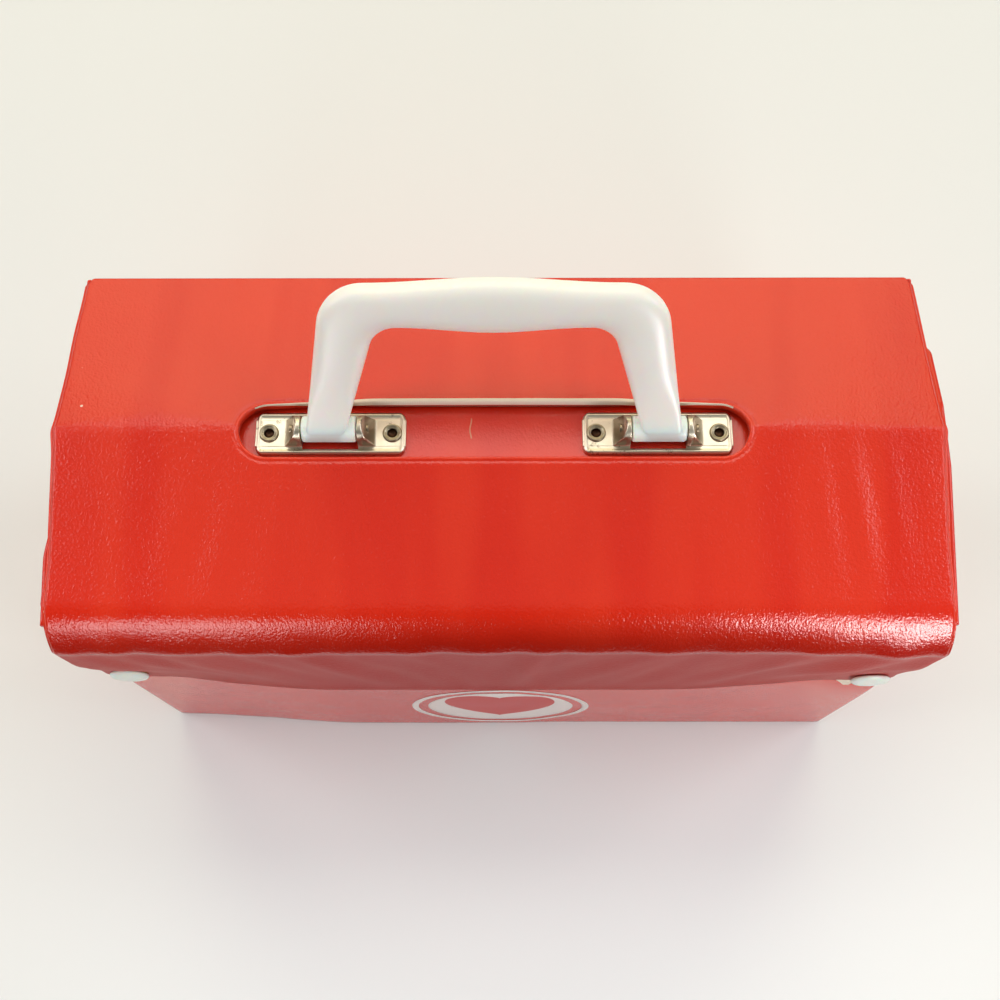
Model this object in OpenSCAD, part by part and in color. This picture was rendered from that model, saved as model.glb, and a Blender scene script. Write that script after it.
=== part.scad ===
// Toy doctor case: vinyl sealed over chipboard, with an inner lid that carries the handle
// and an outer flap that closes over it. Front is -Y, right is +X, and the base is at z = 0.

/* [Case body] */
// Width of the body at its top edge, over the side walls
body_top_w = 284; // [240:1:320]
// How far each side wall leans in, from the body's top edge down to its base
side_lean = 3.5; // [0:0.5:12]
// Depth of the body, from its front face to its back face
body_d = 119; // [100:1:140]
// Thickness of the body's chipboard
body_board_t = 2; // [1.5:0.1:3]
// Thickness of each side wall, two layers of vinyl
gusset_t = 0.8; // [0.6:0.1:1.2]
// How far each side wall's top turns in under the inner lid
gusset_ear = 25; // [15:1:40]
// Width of the strip of front and back vinyl that turns round onto the side walls
return_w = 19; // [10:1:30]

/* [Top] */
// Height of the top's ridge above the base
ridge_h = 180; // [150:1:210]
// Slope of the two halves of the top
roof_angle = 12; // [6:0.5:16]
// Thickness of the chipboard in the flap
flap_board_t = 1.8; // [1.2:0.1:3]
// Thickness of the chipboard in the inner lid
lid_board_t = 2; // [1.5:0.1:3]
// Air between the flap and the inner lid, and between the inner lid and the body
layer_gap = 0.3; // [0.2:0.05:0.6]

/* [Vinyl] */
// Thickness of the outer vinyl
skin_t = 0.6; // [0.4:0.05:0.8]
// Thickness of the lining vinyl
lining_t = 0.5; // [0.4:0.05:0.7]

/* [Outer flap] */
// How far the flap and its lip stop short of the body's top edge at each side
flap_inset = 2; // [0:0.5:8]
// Outside radius of the flap's front bend
bend_r = 12; // [9:0.5:16]
// Height of the lip's lower edge above the base
lip_bottom_h = 96; // [80:1:120]
// Space between the lip and the body's front face, which the snaps fill
lip_gap = 3; // [2.6:0.1:4.5]
// Radius of the rolled bead that the flap turns on, at the back
hinge_r = 1.7; // [1.6:0.1:2]
// Radius of the lip's lower corners
lip_corner_r = 6; // [2:0.5:7]
// Length of the slot that the handle comes through
slot_l = 161; // [156:1:176]
// Width of the slot
slot_w = 18; // [17.5:0.1:22]

/* [Inner lid] */
// How far the inner lid stands out past the body's top edge at each side
lid_over = 1; // [0:0.1:3]
// How far the inner lid's hinge end, behind its rounded corners, stays in from the body's top edge
lid_neck_inset = 5; // [3:0.5:20]
// Distance of the rounded corners behind the ridge
lid_corner_y = 34; // [20:1:45]
// Radius of the rounded corners
lid_corner_r = 4; // [2:0.5:8]
// Flat along the ridge that the handle plates sit on, front to back
lid_flat_w = 21; // [19:0.5:26]

/* [Handle] */
// Sideways place of the handle and the slot, from the middle of the case
handle_x = -1.6; // [-4:0.1:4]
// Distance between the middles of the handle's two feet
foot_pitch = 103.6; // [96:0.2:110]
// Height of the handle from its pins to the middle of its top
handle_h = 52.2; // [48:0.2:54]
// Height of the handle's underside above its pins, in the middle
handle_under_h = 35.6; // [32:0.2:37]
// Width of each leg at the foot
leg_w = 12.9; // [10:0.1:15]
// Thickness of the legs at the feet
leg_t = 7.6; // [6.5:0.1:8.2]
// Thickness of the grip
grip_t = 9.6; // [8:0.1:10]
// How far the outside of each leg leans in
leg_out_lean = 9.7; // [4:0.1:13]
// How far the inside of each leg leans in
leg_in_lean = 17; // [12:0.5:19]
// Outside corner radius
corner_out_r = 14; // [11:0.5:16]
// Inside corner radius
corner_in_r = 9; // [7:0.5:11]
// Rise of the grip's top from its ends to its middle
grip_crown = 1.9; // [0:0.1:3]
// Swell of the grip's underside from its ends to its middle
grip_belly = 1.8; // [0:0.1:3]
// How far the handle leans back as it is stored
handle_lean = 33; // [28:0.5:38]

/* [Handle plates] */
// Length of a handle plate
plate_l = 47.6; // [46:0.2:52]
// Width of a handle plate
plate_w = 14.5; // [13:0.1:16]
// Corner radius of a handle plate
plate_r = 2.8; // [1.5:0.1:4]
// Thickness of the plate's steel
plate_t = 0.8; // [0.6:0.1:1]
// Height of the plate's face above the inner lid
plate_h = 1.6; // [1.4:0.1:2]
// Height of the pin above the plate's face
pin_rise = 3.3; // [3:0.1:3.8]
// Radius of the pin
pin_r = 1.5; // [1.2:0.05:1.8]
// Running clearance of the handle on the pin
pin_fit = 0.05; // [0.02:0.01:0.1]
// Radius of the handle's foot
foot_r = 4.1; // [3.6:0.1:4.3]
// Length of the handle's foot along the pin
foot_l = 17.2; // [15:0.1:18]
// Radius of the humps that hold the pin
hump_r = 4.4; // [4:0.1:4.8]
// Length of the round part of a hump
hump_l = 3.5; // [3:0.1:4]
// Length of the sloping end of a hump
hump_taper = 3.2; // [2:0.1:3.6]

/* [Rivets] */
// Distance between the two rivets of a plate
rivet_pitch = 39; // [38:0.2:42]
// Radius of the hole down a tubular rivet
rivet_hole_r = 1.8; // [1.4:0.1:2]
// Radius of the rivet's shank
rivet_shank_r = 2.3; // [2.1:0.1:2.6]
// Radius of the rivet's head
rivet_head_r = 3.1; // [2.9:0.1:3.6]
// Thickness of the rivet's head
rivet_head_t = 0.6; // [0.4:0.1:0.9]
// Radius of the washer under the inner lid
washer_r = 5; // [4:0.1:6]
// Thickness of the washer
washer_t = 0.6; // [0.5:0.1:1]

/* [Snaps] */
// Distance of each snap's middle from the lip's side
snap_inset = 8.5; // [8:0.1:40]
// Height of the snaps above the lip's lower edge
snap_up = 7.5; // [7:0.1:15]
// Radius of a snap's cap
cap_r = 6.8; // [6:0.1:7]
// Height of a snap's cap
cap_t = 2.2; // [1.6:0.1:3]
// Radius of a snap's socket and of the stud's flange
socket_r = 5.2; // [4.8:0.1:6]
// Radius of the stud's post
post_r = 2.2; // [1.8:0.1:2.6]
// Radius of the shank that goes through the vinyl
shank_r = 1.4; // [1:0.1:1.8]
// Thickness of a stud's flange and of the cap behind it
flange_t = 0.8; // [0.6:0.1:1]

/* [Hidden] */

// Small air between pieces of one body that only lie together
seat = 0.1;
// Clearance of a shank in the hole it passes through
hole_fit = 0.05;
// How far a cutting shape runs past the face that it cuts
past = 1;
red = [0.79, 0.16, 0.11];
dark_red = [0.62, 0.10, 0.08];
ivory = [0.91, 0.92, 0.87];
card = [0.62, 0.52, 0.40];
nickel = [0.72, 0.70, 0.64];

// Layers of the top, each the distance of its face below the flap's outer face
flap_board_d = skin_t;
flap_lining_d = flap_board_d + flap_board_t;
flap_t = flap_lining_d + lining_t;
lid_top_d = flap_t + layer_gap;
lid_board_d = lid_top_d + skin_t;
lid_lining_d = lid_board_d + lid_board_t;
lid_under_d = lid_lining_d + lining_t;
ear_top_d = lid_under_d + layer_gap;

// Height of a layer of the top at y, d below the outer face
function roof_z(y, d) = ridge_h - abs(y) * tan(roof_angle) - d / cos(roof_angle);

// The same for the inner lid, which is flat along the ridge
function lid_z(y, d) = roof_z(max(abs(y), flat_y), d);

// Widths of the body's base, the flap and the inner lid, and the distance between the snaps
body_base_w = body_top_w - 2 * side_lean;
flap_w = body_top_w - 2 * flap_inset;
lid_w = body_top_w + 2 * lid_over;
lid_neck_w = body_top_w - 2 * lid_neck_inset;
snap_pitch = flap_w - 2 * snap_inset;

// Faces of the body, from the outside in
face_y = body_d / 2;
board_y = face_y - skin_t;
lining_y = board_y - body_board_t;
inside_y = lining_y - lining_t;
floor_z = skin_t + body_board_t;

// Line that the inner lid and the flap turn on, at the back
hinge_y = face_y;
hinge_z = roof_z(hinge_y, flap_t / 2);

// Front bend and lip
lip_t = skin_t + lining_t;
lip_y = -face_y - lip_gap - lip_t;
bend_y = lip_y + bend_r;
bend_z = roof_z(bend_y, bend_r);
lip_hinge_y = lip_y + lip_t / 2;
lip_hinge_z = bend_z - lip_t / 2 - layer_gap;

// Flat of the inner lid, its hinge end and its front edge
flat_y = lid_flat_w / 2;
lid_back_y = inside_y - 2 * layer_gap;
lid_front_y = -face_y + layer_gap;
lid_flat_z = roof_z(flat_y, lid_top_d);
lid_under_z = roof_z(flat_y, lid_under_d);

// Tops of the body's front and back
front_top = roof_z(face_y, ear_top_d);
back_top = hinge_z - hinge_r - layer_gap;

// Handle plates and pins, with the space in front of and behind a foot in its window
window_gap = 1.2;
plate_z = lid_flat_z + plate_h;
pin_z = plate_z + pin_rise;
pin_l = foot_l + 2 * (layer_gap + hump_l);
hump_x = foot_l / 2 + layer_gap;
window_y = foot_r + window_gap;

// Handle outline: centres of its two corner arcs, in its own plane
foot_x = foot_pitch / 2;
out_end = handle_h - grip_crown;
in_end = handle_under_h + grip_belly;
out_c = [leg_out_x(out_end - corner_out_r) - corner_out_r / cos(leg_out_lean), out_end - corner_out_r];
in_c = [leg_in_x(in_end - corner_in_r) - corner_in_r / cos(leg_in_lean), in_end - corner_in_r];

// Snaps, whose parts fill the space between the body and the lip
snap_z = lip_bottom_h + snap_up;
post_play = 0.3;
socket_base = 0.5;
socket_t = lip_gap - flange_t - post_play;
post_t = socket_t - socket_base + post_play / 2;

// Outline of the body seen from the front, grown by g on each side
module front_outline(g, top) {
    lean = (body_top_w - body_base_w) / 2 / front_top;
    polygon([
        [-body_base_w / 2 - g, 0], [body_base_w / 2 + g, 0],
        [body_base_w / 2 + g + lean * top, top], [-body_base_w / 2 - g - lean * top, top]
    ]);
}

// Block with the body's leaning sides, from y0 to y1 and z0 to z1
module tapered(g, y0, y1, z0, z1) {
    intersection() {
        translate([0, y1, 0]) rotate([90, 0, 0]) linear_extrude(y1 - y0) front_outline(g, z1);
        translate([-flap_w, y0 - past, z0]) cube([2 * flap_w, y1 - y0 + 2 * past, z1 - z0]);
    }
}

// Outline in y and z, drawn out along X from x0 to x1
module along_x(x0, x1) {
    translate([x0, 0, 0]) rotate([90, 0, 90]) linear_extrude(x1 - x0) children();
}

// Layer of the flap between depths d0 and d1, over the ridge from y0 to y1
module flap_layer(y0, y1, d0, d1) {
    polygon([
        [y0, roof_z(y0, d0)], [0, roof_z(0, d0)], [y1, roof_z(y1, d0)],
        [y1, roof_z(y1, d1)], [0, roof_z(0, d1)], [y0, roof_z(y0, d1)]
    ]);
}

// Layer of one half of the flap
module slope_layer(y0, y1, d0, d1) {
    polygon([
        [y0, roof_z(y0, d0)], [y1, roof_z(y1, d0)], [y1, roof_z(y1, d1)], [y0, roof_z(y0, d1)]
    ]);
}

// Layer between depths d0 and d1 that is flat along the ridge, as the inner lid is
module lid_profile(y0, y1, d0, d1) {
    ys = [y0, -flat_y, flat_y, y1];
    polygon(concat([for (y = ys) [y, lid_z(y, d0)]], [for (i = [3 : -1 : 0]) [ys[i], lid_z(ys[i], d1)]]));
}

// Shanks of both snaps, from y0 to y1
module snap_shanks(y0, y1, r) {
    for (side = [-1, 1])
        translate([side * snap_pitch / 2, y1, snap_z]) rotate([90, 0, 0])
            cylinder(r = r, h = y1 - y0, $fn = 48);
}

// Body

module front_board() {
    color(card) difference() {
        tapered(-gusset_t - seat, -board_y, -lining_y, floor_z, front_top);
        snap_shanks(-face_y, -inside_y, shank_r + hole_fit);
    }
}

module back_board() {
    color(card) tapered(-gusset_t - seat, lining_y, board_y, floor_z, back_top);
}

module bottom_board() {
    color(card) tapered(-gusset_t - seat, -board_y, board_y, skin_t, floor_z);
}

// Outer vinyl: front, base and back in one sheet, with strips turned round onto the side walls
module body_skin() {
    color(red) difference() {
        union() {
            difference() {
                tapered(skin_t, -face_y, face_y, 0, back_top);
                translate([-flap_w, -board_y, skin_t]) cube([2 * flap_w, 2 * board_y, ridge_h]);
                translate([-flap_w, -face_y - past, front_top]) cube([2 * flap_w, face_y, ridge_h]);
            }
            side_return(-face_y, front_top);
            side_return(face_y - return_w, back_top);
        }
        snap_shanks(-face_y - past, -inside_y, shank_r + hole_fit);
    }
}

// Strip of the outer vinyl on each side wall
module side_return(y0, top) {
    difference() {
        tapered(skin_t, y0, y0 + return_w, 0, top);
        tapered(0, y0 - past, y0 + return_w + past, -past, top + past);
    }
}

module body_lining() {
    color(dark_red) difference() {
        tapered(-gusset_t - seat, -lining_y, lining_y, floor_z, front_top);
        translate([-flap_w, -inside_y, floor_z + lining_t]) cube([2 * flap_w, 2 * inside_y, ridge_h]);
        snap_shanks(-face_y, -inside_y + past, shank_r + hole_fit);
    }
}

// Side wall of soft vinyl, whose top turns in under the inner lid
module gusset(side) {
    color(red) intersection() {
        union() {
            intersection() {
                difference() {
                    tapered(0, -board_y, board_y, skin_t, ridge_h);
                    tapered(-gusset_t, -board_y - past, board_y + past, -past, ridge_h + past);
                }
                along_x(-flap_w, flap_w) lid_profile(-face_y, face_y, ear_top_d, ridge_h);
            }
            intersection() {
                along_x(-flap_w, flap_w) lid_profile(-inside_y, inside_y, ear_top_d, ear_top_d + gusset_t);
                tapered(-gusset_t / 2, -board_y, board_y, skin_t, ridge_h);
            }
        }
        translate([side > 0 ? body_top_w / 2 - gusset_ear : -flap_w, -flap_w, skin_t])
            cube([flap_w - body_top_w / 2 + gusset_ear, 2 * flap_w, ridge_h]);
    }
}

// Half of a press stud on the body's front: a flange and the post that the socket grips
module snap_stud(side) {
    color(ivory) translate([side * snap_pitch / 2, -face_y, snap_z]) rotate([90, 0, 0]) {
        cylinder(r = socket_r, h = flange_t, $fn = 64);
        translate([0, 0, flange_t]) cylinder(r = post_r, h = post_t, $fn = 48);
    }
}

// Cap inside the body that holds the stud, with its shank through the front
module stud_cap(side) {
    color(ivory) translate([side * snap_pitch / 2, -inside_y, snap_z]) rotate([-90, 0, 0]) {
        cylinder(r = socket_r, h = flange_t, $fn = 64);
        translate([0, 0, inside_y - face_y]) cylinder(r = shank_r, h = face_y - inside_y, $fn = 48);
    }
}

// Inner lid

// Outline of the inner lid seen from above, drawn in by g, with the back corners rounded
module lid_outline(g) {
    wide = lid_w / 2 - g;
    neck = lid_neck_w / 2 - g;
    r = lid_corner_r;
    translate([-neck, lid_front_y + g]) square([2 * neck, lid_back_y - lid_front_y - 2 * g]);
    translate([-wide, lid_front_y + g]) square([2 * wide, lid_corner_y - r - lid_front_y - g]);
    translate([-wide + r, lid_front_y + g]) square([2 * (wide - r), lid_corner_y - lid_front_y - g]);
    for (side = [-1, 1]) translate([side * (wide - r), lid_corner_y - r]) circle(r = r, $fn = 48);
}

module lid_layer(g, d0, d1) {
    intersection() {
        along_x(-lid_w, lid_w) lid_profile(-face_y, face_y, d0, d1);
        linear_extrude(2 * ridge_h) lid_outline(g);
    }
}

// Places of the two rivets of one plate
module at_rivets(side) {
    for (end = [-1, 1])
        translate([handle_x + side * foot_x + end * rivet_pitch / 2, 0, 0]) children();
}

module rivet_holes() {
    for (side = [-1, 1]) at_rivets(side)
        translate([0, 0, lid_under_z - past])
            cylinder(r = rivet_shank_r + hole_fit, h = lid_flat_z - lid_under_z + 2 * past, $fn = 64);
}

module inner_lid_board() {
    color(card) difference() {
        lid_layer(skin_t + seat, lid_board_d, lid_lining_d);
        rivet_holes();
    }
}

// Red vinyl over the inner lid, turned down round its edges
module inner_lid_skin() {
    color(red) difference() {
        lid_layer(0, lid_top_d, lid_lining_d);
        lid_layer(skin_t, lid_board_d, lid_lining_d + past);
        rivet_holes();
    }
}

module inner_lid_lining() {
    color(dark_red) difference() {
        lid_layer(0, lid_lining_d, lid_under_d);
        rivet_holes();
    }
}

// Block with rounded corners, standing on z = 0
module rounded_block(l, w, r, h) {
    translate([-l / 2 + r, -w / 2, 0]) cube([l - 2 * r, w, h]);
    translate([-l / 2, -w / 2 + r, 0]) cube([l, w - 2 * r, h]);
    for (sx = [-1, 1], sy = [-1, 1])
        translate([sx * (l / 2 - r), sy * (w / 2 - r), 0]) cylinder(r = r, h = h, $fn = 48);
}

// Stamped steel plate: a shallow pan with a window for the handle's foot and a hump each side of it
module handle_plate(side) {
    inner_l = plate_l - 2 * plate_t;
    inner_w = plate_w - 2 * plate_t;
    color(nickel) difference() {
        translate([handle_x + side * foot_x, 0, lid_flat_z]) difference() {
            union() {
                difference() {
                    rounded_block(plate_l, plate_w, plate_r, plate_h);
                    translate([0, 0, -past])
                        rounded_block(inner_l, inner_w, plate_r - plate_t, plate_h - plate_t + past);
                    translate([-hump_x, -window_y, -past])
                        cube([2 * hump_x, 2 * window_y, plate_h + 2 * past]);
                }
                for (end = [-1, 1]) hump(end);
            }
            translate([-pin_l / 2 - seat, 0, plate_h + pin_rise]) rotate([0, 90, 0])
                cylinder(r = pin_r + hole_fit, h = pin_l + 2 * seat, $fn = 64);
        }
        at_rivets(side) translate([0, 0, lid_flat_z])
            cylinder(r = rivet_shank_r + hole_fit, h = plate_h + past, $fn = 64);
    }
}

// Hump that holds one end of the pin: round beside the foot, then a step in and a slope away from it
hump_step = 0.2;
module hump(end) {
    base_z = plate_h - plate_t;
    slope_r = hump_r - hump_step;
    slope_x = hump_x + hump_l - hump_step;
    rotate([0, 0, end > 0 ? 0 : 180]) {
        translate([hump_x, 0, plate_h + pin_rise]) rotate([0, 90, 0])
            cylinder(r = hump_r, h = hump_l, $fn = 64);
        translate([hump_x, -hump_r, base_z]) cube([hump_l, 2 * hump_r, pin_rise + plate_t]);
        hull() {
            translate([slope_x, 0, plate_h + pin_rise]) rotate([0, 90, 0])
                cylinder(r = slope_r, h = hump_step, $fn = 32);
            translate([slope_x, -slope_r, base_z]) cube([hump_step, 2 * slope_r, plate_t]);
            translate([slope_x, -hump_r / 2, base_z])
                cube([hump_step + hump_taper, hump_r, plate_t + hump_step]);
        }
    }
}

// Two tubular rivets, through the plate, the inner lid and its washers
module plate_rivets(side) {
    bottom = lid_under_z - washer_t;
    top = plate_z + rivet_head_t;
    rounding = rivet_head_t / 2;
    color(nickel) at_rivets(side) rotate_extrude($fn = 64) polygon([
        [rivet_hole_r, bottom - rivet_head_t], [rivet_head_r, bottom - rivet_head_t],
        [rivet_head_r, bottom], [rivet_shank_r, bottom],
        [rivet_shank_r, plate_z], [rivet_head_r, plate_z],
        [rivet_head_r, top - rounding], [rivet_head_r - rounding, top], [rivet_hole_r, top]
    ]);
}

module rivet_washers(side) {
    color(nickel) at_rivets(side) translate([0, 0, lid_under_z - washer_t]) difference() {
        cylinder(r = washer_r, h = washer_t, $fn = 64);
        translate([0, 0, -past])
            cylinder(r = rivet_shank_r + hole_fit, h = washer_t + 2 * past, $fn = 64);
    }
}

module handle_pin(side) {
    color(nickel) translate([handle_x + side * foot_x - pin_l / 2, 0, pin_z]) rotate([0, 90, 0])
        cylinder(r = pin_r, h = pin_l, $fn = 64);
}

// Handle

// Distance of the outside and the inside of a leg from the handle's middle, r above the pins
function leg_out_x(r) = foot_pitch / 2 + leg_w / 2 - (r - foot_r) * tan(leg_out_lean);
function leg_in_x(r) = foot_pitch / 2 - leg_w / 2 - (r - foot_r) * tan(leg_in_lean);

leg_rings = 6;
corner_rings = 8;
grip_rings = 8;
handle_sides = 20;
// Squareness of the handle's cross-section, 2 for an ellipse
handle_square = 2.7;
// Height above the pins at which the legs start, inside the feet
leg_start = pin_r + 1;

// Points of one side of the outline: up the leg, round the corner, along to the middle
function outline_points(lean, c, r, end, middle, side) = concat(
    [for (i = [0 : leg_rings - 1])
        let (h = leg_start + (c[1] + r * sin(lean) - leg_start) * i / leg_rings)
        [side > 0 ? leg_out_x(h) : leg_in_x(h), h]],
    [for (i = [0 : corner_rings])
        let (a = lean + (90 - lean) * i / corner_rings) c + r * [cos(a), sin(a)]],
    [for (i = [1 : grip_rings])
        [c[0] * (1 - i / grip_rings), end + (middle - end) * (1 - cos(180 * i / grip_rings)) / 2]]
);

outer_half = outline_points(leg_out_lean, out_c, corner_out_r, out_end, handle_h, 1);
inner_half = outline_points(leg_in_lean, in_c, corner_in_r, in_end, handle_under_h, -1);

// Whole outline, from the right foot over the middle to the left foot
function both_halves(half) = concat(half, [for (i = [len(half) - 2 : -1 : 0]) [-half[i][0], half[i][1]]]);

// Thickness of the handle, r above the pins
function handle_t(r) = leg_t + (grip_t - leg_t) * min(1, r / in_c[1]);

function rounded(v) = sign(v) * pow(abs(v), 2 / handle_square);

// Cross-section between an outer and an inner point of the outline
function handle_ring(o, i) = let (m = (o + i) / 2, u = (o - i) / 2, t = handle_t(m[1]) / 2)
    [for (k = [0 : handle_sides - 1])
        let (a = 360 * k / handle_sides, p = m + u * rounded(cos(a)))
        [p[0], t * rounded(sin(a)), p[1]]];

module handle_bow() {
    outer = both_halves(outer_half);
    inner = both_halves(inner_half);
    n = len(outer);
    s = handle_sides;
    polyhedron(
        points = [for (i = [0 : n - 1]) each handle_ring(outer[i], inner[i])],
        faces = concat(
            [[for (k = [0 : s - 1]) k], [for (k = [s - 1 : -1 : 0]) (n - 1) * s + k]],
            [for (i = [0 : n - 2], k = [0 : s - 1]) [i * s + k, (i + 1) * s + k, i * s + (k + 1) % s]],
            [for (i = [0 : n - 2], k = [0 : s - 1])
                [i * s + (k + 1) % s, (i + 1) * s + k, (i + 1) * s + (k + 1) % s]]
        )
    );
}

// Moulded plastic handle, leaning back on its two pins
module handle() {
    color(ivory) translate([handle_x, 0, pin_z]) rotate([-handle_lean, 0, 0]) difference() {
        union() {
            handle_bow();
            for (side = [-1, 1]) translate([side * foot_x - foot_l / 2, 0, 0]) rotate([0, 90, 0])
                cylinder(r = foot_r, h = foot_l, $fn = 64);
        }
        for (side = [-1, 1]) translate([side * foot_x - foot_l, 0, 0]) rotate([0, 90, 0])
            cylinder(r = pin_r + pin_fit, h = 2 * foot_l, $fn = 64);
    }
}

// Outer flap

// Long round-ended shape of the slot, grown by g, as a tall block
module slot_block(g) {
    r = slot_w / 2 + g;
    linear_extrude(2 * ridge_h) translate([handle_x, 0]) {
        translate([-slot_l / 2 + slot_w / 2, -r]) square([slot_l - slot_w, 2 * r]);
        for (side = [-1, 1]) translate([side * (slot_l - slot_w) / 2, 0]) circle(r = r, $fn = 96);
    }
}

module flap_back_board() {
    color(card) difference() {
        along_x(-flap_w / 2 + skin_t + seat, flap_w / 2 - skin_t - seat)
            slope_layer(flap_board_t / 2, hinge_y - hinge_r - seat, flap_board_d, flap_lining_d);
        slot_block(skin_t + seat);
    }
}

module flap_front_board() {
    color(card) difference() {
        along_x(-flap_w / 2 + skin_t + seat, flap_w / 2 - skin_t - seat)
            slope_layer(bend_y, -flap_board_t / 2, flap_board_d, flap_lining_d);
        slot_block(skin_t + seat);
    }
}

// Points of the front bend, r from its middle, from the slope of the top down to the lip
bend_steps = 12;
function bend_arc(r) = [for (i = [0 : bend_steps])
    let (a = 90 + roof_angle + (90 - roof_angle) * i / bend_steps)
    [bend_y + r * cos(a), bend_z + r * sin(a)]];
function backwards(list) = [for (i = [len(list) - 1 : -1 : 0]) list[i]];

// Outer vinyl of the flap, from the back bead over the ridge and round the front bend,
// turned down at the sides and through the slot
module flap_skin() {
    color(red) difference() {
        union() {
            along_x(-flap_w / 2, flap_w / 2) polygon(concat(
                [for (y = [hinge_y, 0]) [y, roof_z(y, 0)]], bend_arc(bend_r),
                backwards(bend_arc(bend_r - skin_t)), [for (y = [0, hinge_y]) [y, roof_z(y, skin_t)]]
            ));
            for (x0 = [-flap_w / 2, flap_w / 2 - skin_t]) along_x(x0, x0 + skin_t)
                flap_layer(bend_y, hinge_y, 0, flap_lining_d);
            intersection() {
                slot_block(skin_t);
                along_x(-slot_l, slot_l) flap_layer(-slot_w, slot_w, 0, flap_lining_d);
            }
            translate([-flap_w / 2, hinge_y, hinge_z]) rotate([0, 90, 0])
                cylinder(r = hinge_r, h = flap_w, $fn = 48);
        }
        slot_block(0);
    }
}

// White underside of the flap, close under its boards and then under the vinyl of the bend
module flap_lining() {
    back = hinge_y - hinge_r - seat;
    color(ivory) difference() {
        along_x(-flap_w / 2, flap_w / 2) polygon(concat(
            [for (y = [back, 0, bend_y]) [y, roof_z(y, flap_lining_d)]], bend_arc(bend_r - skin_t),
            backwards(bend_arc(bend_r - lip_t)), [for (y = [bend_y, 0, back]) [y, roof_z(y, flap_t)]]
        ));
        slot_block(0);
    }
}

// Lip

// Sheet of the lip from y0 to y1, with rounded lower corners
module lip_sheet(y0, y1) {
    r = lip_corner_r;
    difference() {
        translate([0, y1, 0]) rotate([90, 0, 0]) linear_extrude(y1 - y0) {
            translate([-flap_w / 2, lip_bottom_h + r]) square([flap_w, lip_hinge_z - lip_bottom_h - r]);
            translate([-flap_w / 2 + r, lip_bottom_h]) square([flap_w - 2 * r, lip_hinge_z - lip_bottom_h]);
            for (side = [-1, 1])
                translate([side * (flap_w / 2 - r), lip_bottom_h + r]) circle(r = r, $fn = 48);
        }
        snap_shanks(y0 - past, y1 + past, shank_r + hole_fit);
    }
}

module lip_skin() {
    color(red) lip_sheet(lip_y, lip_y + skin_t);
}

module lip_lining() {
    color(ivory) lip_sheet(lip_y + skin_t, lip_y + lip_t);
}

// Domed cap on the outside of the lip, with its shank through it
cap_profile = [[0, 0], [1, 0], [1, 0.45], [0.93, 0.75], [0.8, 1], [0, 1]];
module snap_cap(side) {
    color(ivory) translate([side * snap_pitch / 2, lip_y, snap_z]) rotate([90, 0, 0]) {
        rotate_extrude($fn = 64) polygon([for (p = cap_profile) [cap_r * p[0], cap_t * p[1]]]);
        translate([0, 0, -lip_t]) cylinder(r = shank_r, h = lip_t, $fn = 48);
    }
}

// Socket behind the lip that the stud's post goes into
module snap_socket(side) {
    color(ivory) translate([side * snap_pitch / 2, lip_y + lip_t, snap_z]) rotate([-90, 0, 0])
        difference() {
            cylinder(r = socket_r, h = socket_t, $fn = 64);
            translate([0, 0, socket_base]) cylinder(r = post_r + post_play, h = socket_t, $fn = 64);
        }
}

front_board();
back_board();
bottom_board();
body_skin();
body_lining();
gusset(-1);  // left_gusset
gusset(1);  // right_gusset
snap_stud(-1);  // left_snap_stud
snap_stud(1);  // right_snap_stud
stud_cap(-1);  // left_stud_cap
stud_cap(1);  // right_stud_cap
inner_lid_board();
inner_lid_skin();
inner_lid_lining();
handle_plate(-1);  // left_handle_plate
handle_plate(1);  // right_handle_plate
plate_rivets(-1);  // left_plate_rivets
plate_rivets(1);  // right_plate_rivets
rivet_washers(-1);  // left_rivet_washers
rivet_washers(1);  // right_rivet_washers
handle_pin(-1);  // left_handle_pin
handle_pin(1);  // right_handle_pin
handle();
flap_back_board();
flap_front_board();
flap_skin();
flap_lining();
lip_skin();
lip_lining();
snap_cap(-1);  // left_snap_cap
snap_cap(1);  // right_snap_cap
snap_socket(-1);  // left_snap_socket
snap_socket(1);  // right_snap_socket
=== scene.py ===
import math

import bmesh
import bpy
from mathutils import Matrix, Vector, noise


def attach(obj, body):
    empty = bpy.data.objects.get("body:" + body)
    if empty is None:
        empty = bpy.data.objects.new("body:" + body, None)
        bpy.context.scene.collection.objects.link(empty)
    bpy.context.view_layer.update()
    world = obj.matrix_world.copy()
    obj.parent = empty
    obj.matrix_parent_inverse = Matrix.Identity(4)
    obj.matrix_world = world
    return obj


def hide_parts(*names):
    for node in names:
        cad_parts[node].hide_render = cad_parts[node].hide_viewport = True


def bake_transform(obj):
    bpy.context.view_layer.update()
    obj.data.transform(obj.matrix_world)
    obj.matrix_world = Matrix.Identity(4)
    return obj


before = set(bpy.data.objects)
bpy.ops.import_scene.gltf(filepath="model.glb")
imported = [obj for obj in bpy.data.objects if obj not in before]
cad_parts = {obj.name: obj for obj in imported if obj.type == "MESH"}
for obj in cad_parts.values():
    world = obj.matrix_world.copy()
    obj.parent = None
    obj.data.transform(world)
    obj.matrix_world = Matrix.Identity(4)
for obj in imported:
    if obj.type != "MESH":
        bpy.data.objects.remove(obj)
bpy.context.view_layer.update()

# Studio: a pale sheet whose part more than 18 cm in front of the case is painted dark, a painted
# shade standing in for the dark room before the case, which the front fold reflects; large soft lamps
# behind, above and beside the case and small ones before it, of which the glint shows only in
# reflections, and a camera above the front edge, tipped 19 degrees from straight down.
scene = bpy.context.scene
scene.view_settings.view_transform = "Standard"
mm = 0.001


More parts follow.
